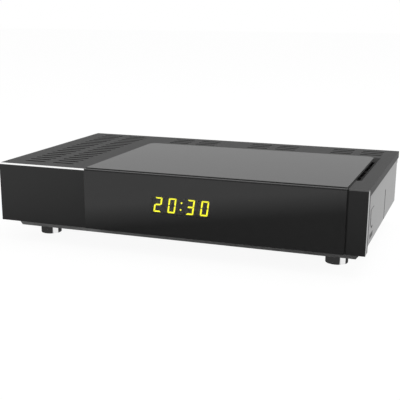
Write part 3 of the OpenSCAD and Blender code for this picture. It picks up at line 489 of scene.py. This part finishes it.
def aerial_connector(node, name):
    """The connector as a turned tube, with a helical thread, a groove at the nut and a bore."""
    low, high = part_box(node)
    centre = (low + high) / 2
    radius = (high.x - low.x) / 2
    mouth = high.y - bore_depth
    rows = round((high.y - low.y) / thread_pitch * rows_a_pitch)
    angles = [math.tau * column / columns for column in range(columns)]
    work = bmesh.new()
    rings = []
    for row in range(rows + 1):
        y = low.y + (high.y - low.y) * row / rows
        lead = min(1, (high.y - y) / lead_length)
        ring = []
        for column, angle in enumerate(angles):
            phase = (y / thread_pitch - column / columns) % 1
            depth = thread_depth * abs(2 * phase - 1)
            if 0 <= mouth + groove_width - y <= groove_width:
                depth = groove_depth
            r = radius - depth - (1 - lead) * lead_depth
            ring.append(work.verts.new(round_point(centre, r, angle, y)))
        rings.append(ring)
    bore = ((high.y, bore_radius + flare_width), (high.y - flare_depth, bore_radius), (mouth, bore_radius))
    for y, r in bore:
        rings.append([work.verts.new(round_point(centre, r, angle, y)) for angle in angles])
    skin(work, rings)
    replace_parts(piece(name, work, nickel), node)


aerial_connector("lnb_input_connector", "input_connector_threaded")
aerial_connector("lnb_loop_connector", "loop_connector_threaded")

# ---- Flat and round sockets ----
# Moulded sockets stand on the board behind openings in the rear wall. Sprung contacts lie in the
# video socket's slots and on the tongues; the sound socket is coded orange.

socket_black, place = new_finish("socket_plastic")
grain = place.noise(2600)
place.finish({
    "Base Color": grain.tint(grey(34), grey(44)),
    "Roughness": 0.4 + grain * 0.16,
    "Normal": grain.relief(0.01 * MM),
})
dress(socket_black, "scart_socket", "hdmi_tongue", "ir_extender_jack", "power_inlet", "switch_housing")
soften(0.15 * MM, "scart_socket", "ir_extender_jack", "power_inlet", "switch_housing")

orange, place = new_finish("orange_plastic")
grain = place.noise(2000)
place.finish({
    "Base Color": grain.tint(ink(206, 92, 24), ink(226, 112, 38)),
    "Roughness": 0.36 + grain * 0.14,
    "Normal": grain.relief(0.01 * MM),
})
dress(orange, "coax_audio_body")
soften(0.15 * MM, "coax_audio_body")

gilt, place = new_finish("gilt_contacts")
film = place.noise(1500)
place.finish({
    "Base Color": film.tint(ink(206, 166, 84), ink(236, 204, 128)),
    "Metallic": 1.0,
    "Roughness": 0.2 + film * 0.12,
})

# Each slot of the video socket holds two leaves that bulge towards each other.
scart_low, scart_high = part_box("scart_socket")
scart_middle = (scart_low + scart_high) / 2
slot_pitch = 3.81 * MM
slot_row = 2.3 * MM
slot_shift = -0.45 * MM
slot_columns = 10
leaf_from, leaf_to = scart_high.y - 7.8 * MM, scart_high.y - 1.2 * MM
leaf_bend = leaf_to - 1.4 * MM
leaf = 0.16 * MM
leaf_height = 2 * MM
wall_gap, bulge_gap = 0.54 * MM, 0.26 * MM
work = bmesh.new()
for column in range(slot_columns):
    x = scart_middle.x + (column - (slot_columns - 1) / 2) * slot_pitch + slot_shift
    for row in (-1, 1):
        z = scart_middle.z + row * slot_row - leaf_height / 2
        for side in (-1, 1):
            wall, bulge = x + side * wall_gap, x + side * bulge_gap
            front = [(wall, leaf_from), (bulge, leaf_bend), (wall, leaf_to)]
            back = [(across - side * leaf, along) for across, along in reversed(front)]
            prism(work, [(across, along, z) for across, along in front + back], (0, 0, leaf_height))
piece("video_contacts", work, gilt)

# The flat sockets' tongues carry rows of gilt strips: one with ten above and nine below, and one
# with four.
strip = 0.06 * MM
tongue_half = 0.8 * MM


def strip_row(work, tongue, count, pitch, width, start, stop, level):
    """Adds strips side by side on a tongue. Start and stop are measured from the tongue's end."""
    low, high = tongue
    for i in range(count):
        x = (low.x + high.x) / 2 + (i - (count - 1) / 2) * pitch
        brick(work, (x - width / 2, high.y - start, level[0]), (x + width / 2, high.y - stop, level[1]))


work = bmesh.new()
low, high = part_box("hdmi_tongue")
for side, count in ((1, 10), (-1, 9)):
    z = (low.z + high.z) / 2 + side * tongue_half
    strip_row(work, (low, high), count, pitch=1 * MM, width=0.44 * MM, start=6 * MM, stop=0.5 * MM,
              level=sorted((z, z + side * strip)))
low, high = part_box("usb_tongue")
under = (low.z + high.z) / 2
strip_row(work, (low, high), 4, pitch=2.25 * MM, width=1 * MM, start=7 * MM, stop=1 * MM,
          level=(under - strip, under))
piece("tongue_contacts", work, gilt)

# A gilt tube in four slit quarters lies in the sound socket's hole.
shell_low, shell_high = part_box("coax_audio_shell")
centre = (shell_low + shell_high) / 2
tube_outer, tube_inner = 1.64 * MM, 1.35 * MM
tube_from, tube_length = shell_low.y - 1 * MM, 7 * MM
quarters = 4
half_slit = 0.08
steps = 7
work = bmesh.new()
for quarter in range(quarters):
    start = math.tau * (quarter + half_slit) / quarters
    stop = math.tau * (quarter + 1 - half_slit) / quarters
    arc = [start + (stop - start) * i / (steps - 1) for i in range(steps)]
    outline = [(tube_outer, a) for a in arc] + [(tube_inner, a) for a in reversed(arc)]
    prism(work, [round_point(centre, r, a, tube_from) for r, a in outline], (0, tube_length, 0))

# A bent gilt leaf lies over the inlet's pin. Its side view gives how far inside the inlet's end
# and how high its corners are, in millimetres.
low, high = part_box("power_inlet")
leaf_width = 2 * MM
leaf_left = (low.x + high.x) / 2 - leaf_width / 2
leaf_z = (low.z + high.z) / 2 + 2.7 * MM
leaf_side = [(9, 0), (3, -0.7), (1.6, -0.1), (1.6, 0.1), (3, -0.5), (9, 0.2)]
prism(work, [(leaf_left, high.y - u * MM, leaf_z + v * MM) for u, v in leaf_side], (leaf_width, 0, 0))
piece("round_socket_contacts", work, gilt)

# ---- Power switch ----
# A moulded rocker tips on two pins in a housing that snaps into the rear wall. Its faces carry
# the white bar and ring that stand for on and off.

rocker_black, place = new_finish("rocker_plastic")
grain = place.noise(1800)
place.finish({
    "Base Color": grain.tint(grey(30), grey(38)),
    "Roughness": 0.26 + grain * 0.1,
    "Normal": grain.relief(0.006 * MM),
})
dress(rocker_black, "switch_rocker")
soften(0.35 * MM, "switch_rocker")

print_white, place = new_finish("printed_white")
place.finish({
    "Base Color": place.noise(3000).tint(grey(226), grey(242)),
    "Roughness": 0.5 + place.noise(5000) * 0.1,
})

pivot = Vector(frame["joints"][0]["pos_m"])
rocker_low, rocker_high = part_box("switch_rocker")
tilt = math.radians(10)
face_reach = 3.2 * MM
mark_out = 4.2 * MM
mark_height = 3.4 * MM
ring_narrowing = 0.82
ring_steps = 32
stroke = 0.5 * MM
print_gap = 0.005 * MM
print_depth = 0.04 * MM

# The rocker's two faces meet in a fold over its pivot, and a mark lies on each.
centre = Vector((pivot.x, pivot.y, (rocker_low.z + rocker_high.z) / 2))
fold = Vector((-math.sin(tilt), math.cos(tilt), 0)) * face_reach
up = Vector((0, 0, 1))
ring_outer, ring_inner = mark_height / 2, mark_height / 2 - stroke
work = bmesh.new()
for side in (-1, 1):
    slope = side * tilt + tilt
    along = Vector((math.cos(slope), math.sin(slope), 0))
    out = Vector((-math.sin(slope), math.cos(slope), 0))
    middle = centre + fold + along * side * mark_out + out * print_gap
    if side < 0:
        bar = [middle + along * u * stroke / 2 + up * v * mark_height / 2
               for u, v in ((-1, -1), (1, -1), (1, 1), (-1, 1))]
        prism(work, bar, out * print_depth)
        continue
    for i in range(ring_steps):
        a, b = (math.tau * (i + k) / ring_steps for k in (0, 1))
        part = [middle + along * r * math.sin(t) * ring_narrowing + up * r * math.cos(t)
                for r, t in ((ring_outer, a), (ring_outer, b), (ring_inner, b), (ring_inner, a))]
        prism(work, part, out * print_depth)
bmesh.ops.remove_doubles(work, verts=work.verts, dist=same_corner)
piece("rocker_marks", work, print_white, body="rocker")

# ---- Front ----
# The front is one black moulding with a fine spark-eroded grain, and its sides are polished. It
# holds the display, the remote control's receiver and their board on four posts.

polished_skin = 0.05 * MM
polish_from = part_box("front_bezel")[1].x - polished_skin

front_plastic, place = new_finish("front_plastic")
grain = place.noise(2400)
flow = place.noise(9, 3.0)
polished = place.axes()[0].size().over(polish_from)
place.finish({
    "Base Color": (grain * 0.5 + flow * 0.5).tint(grey(21), grey(27)),
    "Roughness": (0.46 + grain * 0.12) * (1 - polished * 0.7),
    "Specular IOR Level": 0.4,
    "Normal": (grain * (1 - polished)).relief(0.012 * MM),
})
dress(front_plastic, "front_bezel")
soften(0.15 * MM, "front_bezel")

dark_lens, place = new_finish("dark_lens")
place.finish({
    "Base Color": place.noise(400).tint(ink(16, 10, 16), ink(26, 16, 24)),
    "Roughness": 0.12 + place.noise(700) * 0.06,
})
dress(dark_lens, "ir_receiver")

# Painted light: the display's face is made a light grey, to make up for the shade that falls on it behind
# the window.
display_face_lightened, place = new_finish("display_face_lightened")
place.finish({
    "Base Color": place.noise(1200).tint(ink(126, 126, 130), ink(134, 134, 138)),
    "Roughness": 0.5 + place.noise(2500) * 0.1,
})
dress(display_face_lightened, "display_module")

lit, place = new_finish("lit_strokes")
even = place.noise(500, 1.0)
place.finish({
    "Base Color": even.tint(ink(240, 238, 40), ink(255, 252, 60)),
    "Roughness": 0.4 + even * 0.1,
    "Emission Color": even.tint((1.0, 0.94, 0.022, 1), (1.0, 1.0, 0.03, 1)),
    "Emission Strength": 4.0,
})
dress(lit, "display_digits")

ribbon_size = 4 * MM

ribbon_grey, place = new_finish("ribbon_insulation")
wires = place.ridges("X", ribbon_size)
place.finish({
    "Base Color": wires.tint(grey(150), grey(190)),
    "Roughness": 0.46 + wires * 0.1,
    "Normal": wires.relief(0.15 * MM),
})
dress(ribbon_grey, "ribbon_cable")

# ---- Trim, window and top plate ----
# A polished aluminium strip and a gloss black acrylic window close the front. The window is
# clear before the display, apart from a thin tint on its face. A gloss plate lies on the cover behind
# it, with a dark strip round its edge that is painted shade, in place of the shadow gap there.

strip_metal, place = new_finish("polished_strip")
drawn = place.stretched(20, 5000, 5000).noise(1.0)
place.finish({
    "Base Color": drawn.tint(grey(250), grey(255)),
    "Metallic": 1.0,
    "Roughness": 0.14 + drawn * 0.1,
})
dress(strip_metal, "trim_strip")
soften(0.1 * MM, "trim_strip")

display_low, display_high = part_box("display_module")
display_middle = (display_low + display_high) / 2
clear_border = 1.5 * MM
tint_depth = 0.9 * MM
tint_share = 0.7

acrylic, place = new_finish("black_acrylic")
x, y, z = place.axes()
over_x = ((display_high.x - display_low.x) / 2 - (x - display_middle.x).size()) / clear_border
over_z = ((display_high.z - display_low.z) / 2 - (z - display_middle.z).size()) / clear_border
tint_layer = 1 - y.over(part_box("front_window")[0].y + tint_depth)
clear = over_x.kept() * over_z.kept() * (1 - tint_layer * tint_share)
swirl = place.noise(14, 3.0)
place.finish({
    "Base Color": swirl.tint(grey(35), grey(39)),
    "Roughness": 0.04 + swirl * 0.04,
    "Specular IOR Level": 0.36,
    "Alpha": 1 - clear,
    "Normal": swirl.relief(0.05 * MM),
})
dress(acrylic, "front_window")
soften(0.1 * MM, "front_window")

plate_gloss, place = new_finish("gloss_plate")
swirl = place.noise(10, 3.0)
place.finish({
    "Base Color": swirl.tint(grey(44), grey(50)),
    "Roughness": 0.1 + swirl * 0.05,
    "Normal": swirl.relief(0.05 * MM),
})
dress(plate_gloss, "top_plate")
soften(0.08 * MM, "top_plate")

shadow_strip_black, place = new_finish("painted_shadow_strip")
cell = place.noise(3500)
place.finish({
    "Base Color": cell.tint(grey(34), grey(46)),
    "Roughness": 0.8 + cell * 0.15,
    "Specular IOR Level": 0.2,
    "Normal": cell.relief(0.03 * MM),
})

# A dark strip lies along the plate's edge on three sides, round its two rear corners. It is painted
# shade, in place of the shadow gap between the plate and the cover.
plate_low, plate_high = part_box("top_plate")
shadow_strip_width = 0.6 * MM
shadow_strip_height = 0.5 * MM
corner_radius = 6 * MM
corner_steps = 10
shadow_strip_from = plate_low.y + 1.2 * MM


def plate_edge(out):
    """The plate's edge from its left front over the rear to its right front, moved out."""
    points = [(plate_low.x - out, shadow_strip_from)]
    for middle_x, first in ((plate_low.x + corner_radius, 180), (plate_high.x - corner_radius, 90)):
        for step in range(corner_steps + 1):
            angle = math.radians(first - 90 * step / corner_steps)
            points.append((middle_x + (corner_radius + out) * math.cos(angle),
                           plate_high.y - corner_radius + (corner_radius + out) * math.sin(angle)))
    return points + [(plate_high.x + out, shadow_strip_from)]


work = bmesh.new()
bottom, top = plate_low.z, plate_low.z + shadow_strip_height
loops = []
for out, level in ((0, bottom), (shadow_strip_width, bottom), (shadow_strip_width, top), (0, top)):
    loops.append([work.verts.new((*point, level)) for point in plate_edge(out)])
for before, after in zip(loops, loops[1:] + loops[:1]):
    for i in range(len(before) - 1):
        work.faces.new([before[i], before[i + 1], after[i + 1], after[i]])
for end in (0, -1):
    work.faces.new([loop[end] for loop in loops])
piece("plate_shadow_strip", work, shadow_strip_black)

# ---- Cover ----
# The cover is punched, folded and powder painted satin black; painted shade makes its slots' walls
# darker and dull. Three pan head screws with cross recesses hold its rear flange to the tray.

cover_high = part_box("top_cover")[1]
slot_depth = 0.8 * MM
slot_margin = 4 * MM
face_skin = 0.005 * MM
slot_skin = 0.02 * MM

powder, place = new_finish("powder_paint")
x, y, z = place.axes()
peel = place.noise(1100, 3.0)
cloud = place.noise(12, 4.0)
facing = place.facing()
# The walls of the slots are painted near black: painted shade.
below = (cover_high.z - z).over(face_skin) * (z - cover_high.z + slot_depth + slot_skin).over(0)
within = (cover_high.x - slot_margin - x.size()).over(0) * (cover_high.y - slot_margin - y).over(0)
painted_shade_in_cuts = below * within * (1 - facing[2].size().over(0.6))
painted = (peel * 0.4 + cloud * 0.6).tint(grey(40), grey(47))
place.finish({
    "Base Color": painted_shade_in_cuts.tint(painted, grey(4)),
    "Roughness": 0.56 + peel * 0.12 + painted_shade_in_cuts * 0.3,
    "Specular IOR Level": 0.25,
    "Normal": peel.relief(0.02 * MM),
})
dress(powder, "top_cover")
soften(0.05 * MM, "top_cover")

head_radius = 2.8 * MM
head_height = 1.6 * MM
head_rim = 0.5 * MM
head_steps = 40
shank_radius = 1.45 * MM
recess_width = 0.7 * MM
recess_reach = 1.6 * MM
recess_depth = 0.9 * MM


def settled(made):
    """Applies a piece's modifiers to its mesh."""
    graph = bpy.context.evaluated_depsgraph_get()
    mesh = bpy.data.meshes.new_from_object(made.evaluated_get(graph))
    made.modifiers.clear()
    made.data = mesh


def turned(work, outline, centre, steps):
    """Adds a solid turned about a Y axis through centre. The outline's points are (radius, y)."""
    rings = []
    for radius, y in outline:
        ring = [work.verts.new(round_point(centre, radius, math.tau * i / steps, y)) for i in range(steps)]
        rings.append(ring)
    skin(work, rings)


screws_low, screws_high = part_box("cover_screws")
flange_y = screws_high.y - head_height
screw_z = (screws_low.z + screws_high.z) / 2
screw_xs = (screws_low.x + head_radius, 0, screws_high.x - head_radius)
shank = [(shank_radius, screws_low.y), (shank_radius, flange_y), (head_radius, flange_y)]
dome = [(head_radius * math.cos(a), flange_y + head_rim + (head_height - head_rim) * math.sin(a))
        for a in (math.radians(d) for d in range(0, 86, 10))]

# Each screw has stopped at an angle of its own.
work, crosses = bmesh.new(), bmesh.new()
for x in screw_xs:
    centre = Vector((x, flange_y, screw_z))
    turned(work, shank + dome, centre, head_steps)
    stopped_at = 0.3 + x * 9
    for angle in (stopped_at, stopped_at + math.pi / 2):
        reach = Vector((math.cos(angle), 0, math.sin(angle))) * recess_reach
        side = Vector((-math.sin(angle), 0, math.cos(angle))) * recess_width / 2
        base = centre + Vector((0, head_height - recess_depth, 0))
        cut = [base + reach + side, base + reach - side, base - reach - side, base - reach + side]
        prism(crosses, cut, (0, 2 * recess_depth, 0))
screws = piece("cover_screw_heads", work, screw_zinc)
cutter = piece("cutter", crosses, screw_zinc)
cross = screws.modifiers.new("cross_recess", "BOOLEAN")
cross.operation = "DIFFERENCE"
cross.object = cutter
cross.solver = "EXACT"
cross.use_self = True
settled(screws)
bpy.data.objects.remove(cutter)
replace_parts(screws, "cover_screws")

# ---- Feet ----
# Each foot is a chromed cup with a soft rubber pad pressed into it, held by a screw from inside
# the cup up through the tray's floor.

chrome, place = new_finish("chrome")
haze = place.noise(90, 3.0)
place.finish({
    "Base Color": haze.tint(grey(234), grey(244)),
    "Metallic": 1.0,
    "Roughness": 0.05 + haze * 0.05,
})
dress(chrome, "foot_shells")
soften(0.4 * MM, "foot_shells")

rubber, place = new_finish("soft_rubber")
dust = place.noise(500, 4.0)
place.finish({
    "Base Color": dust.tint(grey(26), grey(46)),
    "Roughness": 0.72 + dust * 0.16,
    "Normal": dust.relief(0.05 * MM),
})
dress(rubber, "foot_pads")
soften(0.3 * MM, "foot_pads")

# ---- Studio ----
# A pale floor runs up to a white background. Two cards are hidden from all rays but a gloss's, so
# they only paint reflections: a dark one on the floor before the receiver and a grey one behind it.
# Two soft lamps light it.


def background_ray(field):
    """1 for the rays that see the background: from the camera, a gloss or a glass."""
    kinds = [field.node("ShaderNodeLightPath", {}, {}, f"Is {kind} Ray")
             for kind in ("Camera", "Glossy", "Transmission")]
    return (kinds[0] + kinds[1] + kinds[2]).kept()


def studio_sheet(name, corners, material):
    """A flat sheet with these corners."""
    work = bmesh.new()
    work.faces.new([work.verts.new(corner) for corner in corners])
    mesh = bpy.data.meshes.new(name)
    work.to_mesh(mesh)
    work.free()
    mesh.materials.append(material)
    sheet = bpy.data.objects.new(name, mesh)
    bpy.context.collection.objects.link(sheet)
    return sheet


def gloss_only(card):
    """Hides a card from every ray but those that a polished surface sends out."""
    for ray in ("camera", "diffuse", "shadow", "transmission"):
        setattr(card, f"visible_{ray}", False)


# To the camera and to a gloss the floor is plain white, but for a little of its own shading.
white = (1, 1, 1, 1)
plain_white = 0.93
floor_reach = 6.0
floor_corners = ((-1, -1), (1, -1), (1, 1), (-1, 1))

floor_finish, place = new_finish("pale_floor")
seen = background_ray(place)
plain = place.node("ShaderNodeBsdfDiffuse", {}, {"Color": seen.tint(grey(228), white)})
bright = place.node("ShaderNodeEmission", {}, {"Color": white, "Strength": 1.0})
surface = place.node("ShaderNodeMixShader", {}, {0: seen * plain_white, 1: plain, 2: bright})
place.node("ShaderNodeOutputMaterial", {}, {"Surface": surface})
studio_sheet("floor", [(u * floor_reach, v * floor_reach, 0) for u, v in floor_corners], floor_finish)

# The dark card turns clear towards the left and the camera, over a hand's width along a line.
# Each front foot sees a white gap in it, between two lines that start at the foot.
front_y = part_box("front_window")[0].y
edge_left = Vector((-0.112, front_y - 0.071))
edge_right = Vector((0.080, front_y - 0.209))
edge_way = (edge_right - edge_left).normalized()
edge_out = Vector((-edge_way.y, edge_way.x))
fade = 0.08
foot_radius = 7.5 * MM
gap_reach = 48 * MM
gap_fades = (2 * MM, 1 * MM)
gap_ways = (44.6, 110.5)
feet_low, feet_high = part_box("foot_shells")
foot_y = feet_low.y + foot_radius
feet = ((feet_low.x + foot_radius, (37.6, 70.5)), (feet_high.x - foot_radius, (27.3, 60.2)))

# The card paints a dark reflection in the window and the chrome feet; its gaps shape the feet's white
# highlights.
card_finish, place = new_finish("dark_card")
x, y = place.axes()[:2]
dark = ((x - edge_left.x) * edge_out.x + (y - edge_left.y) * edge_out.y) / fade + 0.5
dark = dark.kept()
for foot_x, starts in feet:
    sides = []
    for start, way in zip(starts, gap_ways):
        start, way = math.radians(start), math.radians(way)
        start_x = foot_x + foot_radius * math.sin(start)
        start_y = foot_y - foot_radius * math.cos(start)
        sides.append((x - start_x) * math.cos(way) + (y - start_y) * math.sin(way))
    off_x, off_y = x - foot_x, y - foot_y
    near = 1 - (off_x * off_x + off_y * off_y).over(gap_reach ** 2)
    first_side = (sides[0] / gap_fades[0] + 0.5).kept()
    gap = first_side * (0.5 - sides[1] / gap_fades[1]).kept() * near
    dark = dark * (1 - gap)
clear = place.node("ShaderNodeBsdfTransparent")
black = place.node("ShaderNodeEmission", {}, {"Color": grey(56), "Strength": 1.0})
surface = place.node("ShaderNodeMixShader", {}, {0: dark, 1: clear, 2: black})
place.node("ShaderNodeOutputMaterial", {}, {"Surface": surface})

# The card lies just over the floor, and its right rear corner is cut out beside the receiver.
card_z = 0.02 * MM
left, right, near_end, far_end = -0.9, 0.5, -0.9, 0.02
cut_x, cut_y = 0.125, -0.035
corners = [(left, near_end), (right, near_end), (right, cut_y), (cut_x, cut_y), (cut_x, far_end),
           (left, far_end)]
gloss_only(studio_sheet("dark_card", [(*corner, card_z) for corner in corners], card_finish))

# The grey card paints a dim reflection in the polished surfaces that face it.
back_finish, place = new_finish("grey_card")
dim = place.node("ShaderNodeEmission", {}, {"Color": white, "Strength": 0.52})
place.node("ShaderNodeOutputMaterial", {}, {"Surface": dim})
left, right, back, top = -1.15, 0.15, 1.4, 0.55
corners = [(left, back, 0), (right, back, 0), (right, back, top), (left, back, top)]
gloss_only(studio_sheet("grey_card", corners, back_finish))


def soft_lamp(name, place, aim, size, watts):
    """A round lamp at a place, turned to the point that it aims at."""
    lamp = bpy.data.lights.new(name, "AREA")
    lamp.shape = "DISK"
    lamp.size = size
    lamp.energy = watts
    made = bpy.data.objects.new(name, lamp)
    made.location = place
    made.rotation_euler = (Vector(aim) - Vector(place)).to_track_quat("-Z", "Y").to_euler()
    bpy.context.collection.objects.link(made)


soft_lamp("top_lamp", place=(0.3, 0.2, 1.5), aim=(0, 0, 0), size=1.2, watts=9)
soft_lamp("right_lamp", place=(1.5, -0.3, 0.7), aim=(0, 0, 0.03), size=0.8, watts=7)

# The room lights the receiver at less than the full white that the camera and a gloss see.
room_level = 0.8

world = bpy.data.worlds.new("white_room")
world.use_nodes = True
world.node_tree.nodes.clear()
room = Field(world.node_tree)
level = room_level + background_ray(room) * (1 - room_level)
light = room.node("ShaderNodeBackground", {}, {"Color": white, "Strength": level})
room.node("ShaderNodeOutputWorld", {}, {"Surface": light})
bpy.context.scene.world = world
bpy.context.scene.view_settings.view_transform = "Standard"

# The camera stands as it was solved on the straight edges of the case in the picture. Its focal
# length and the shift of its centre are in the picture's pixels.
picture_width = 400
focal_pixels = 808.15
centre_right, centre_below = 8, 36
camera_place = Vector((0.19525, front_y + MM - 0.48394, 0.16016))
yaw, pitch, roll = (math.radians(a) for a in (20.3025, 15.556, 0.2149))

view = bpy.data.cameras.new("camera")
view.sensor_width = 36
view.lens = focal_pixels / picture_width * view.sensor_width
view.shift_x = centre_right / picture_width
view.shift_y = centre_below / picture_width
view.clip_start = 0.01
camera = bpy.data.objects.new("camera", view)
bpy.context.collection.objects.link(camera)
turn = Matrix.Rotation(yaw, 4, "Z") @ Matrix.Rotation(math.pi / 2 - pitch, 4, "X")
turn = turn @ Matrix.Rotation(roll, 4, "Z")
camera.matrix_world = Matrix.Translation(camera_place) @ turn
bpy.context.scene.camera = camera
